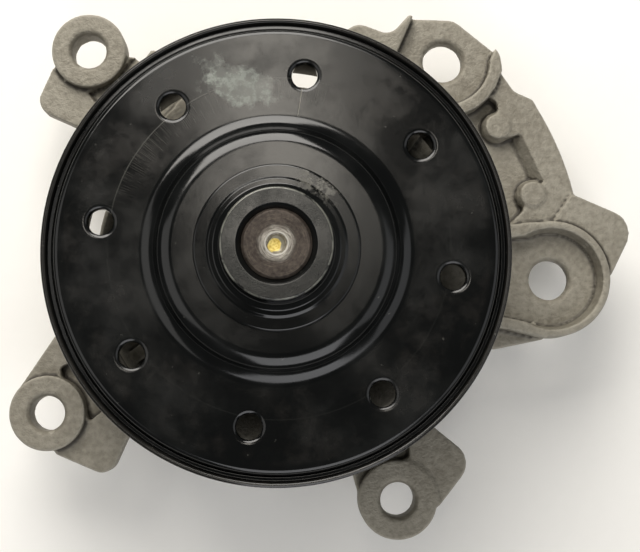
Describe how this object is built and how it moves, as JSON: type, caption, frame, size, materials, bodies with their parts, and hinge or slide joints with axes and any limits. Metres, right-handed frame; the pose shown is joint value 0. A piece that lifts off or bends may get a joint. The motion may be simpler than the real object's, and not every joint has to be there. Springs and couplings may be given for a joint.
{
  "type": "water pump",
  "caption": "Engine coolant pump: cast housing with five bolt ears, shaft bearing, face seal, vaned impeller and a ribbed belt pulley that turns together with the shaft.",
  "frame": {"origin": "on the shaft's axis, in the plane of the housing's machined mounting face", "axes": "+Z along the shaft from the mounting face towards the pulley, +X towards the widest ear, +Y at right angles to it towards the two upper ears"},
  "size_m": [0.1617, 0.1377, 0.0795],
  "materials": {
    "cast_aluminium": "sand-textured die-cast skin, warm grey, matte",
    "black_coating": "gloss black dip coating over pressed steel",
    "ground_steel": "ground and lightly oxidised steel",
    "bearing_steel": "polished bearing steel",
    "spring_steel": "bright drawn spring wire",
    "seal_brass": "pressed brass sheet",
    "seal_rubber": "moulded nitrile rubber",
    "gasket_rubber": "moulded rubber, slightly glossy",
    "carbon": "lapped carbon-graphite",
    "ceramic": "lapped alumina ceramic",
    "impeller_plastic": "glass-filled moulded plastic",
    "cage_nylon": "natural glass-filled nylon"
  },
  "bodies": {
    "housing": {"pump_body": "cast_aluminium", "body_gasket": "gasket_rubber", "bearing_ring": "ground_steel", "front_bearing_seal": "seal_rubber", "rear_bearing_seal": "seal_rubber", "seal_case": "seal_brass", "seal_bellows": "seal_rubber", "seal_spring": "spring_steel"},
    "rotor": {"bearing_shaft": "ground_steel", "pulley_hub": "black_coating", "pulley_disc": "black_coating", "pulley_rim": "black_coating", "water_slinger": "seal_rubber", "mating_ring": "ceramic", "mating_ring_boot": "seal_rubber", "impeller": "impeller_plastic", "impeller_bush": "ground_steel"},
    "seal_face": {"carbon_ring": "carbon", "seal_retainer": "seal_brass"},
    "front_ball_set": {"front_balls": "bearing_steel", "front_ball_cage": "cage_nylon"},
    "rear_ball_set": {"rear_balls": "bearing_steel", "rear_ball_cage": "cage_nylon"}
  },
  "joints": [
    {"name": "rotor_spin", "type": "hinge", "parent": "housing", "child": "rotor", "pos_m": [0, 0, 0], "axis": [0, 0, 1], "continuous": true},
    {"name": "front_ball_spin", "type": "hinge", "parent": "housing", "child": "front_ball_set", "pos_m": [0, 0, 0.0335], "axis": [0, 0, 1], "continuous": true},
    {"name": "rear_ball_spin", "type": "hinge", "parent": "housing", "child": "rear_ball_set", "pos_m": [0, 0, 0.0185], "axis": [0, 0, 1], "continuous": true},
    {"name": "seal_face_slide", "type": "slide", "parent": "housing", "child": "seal_face", "axis": [0, 0, 1], "range_m": [0, 0.001], "stiffness_N_per_m": 900, "springref_m": -0.001, "deforming": ["seal_spring", "seal_bellows"]}
  ],
  "couplings": [
    {"joint": "front_ball_spin", "follows": "rotor_spin", "ratio": 0.3425},
    {"joint": "rear_ball_spin", "follows": "rotor_spin", "ratio": 0.3425}
  ]
}
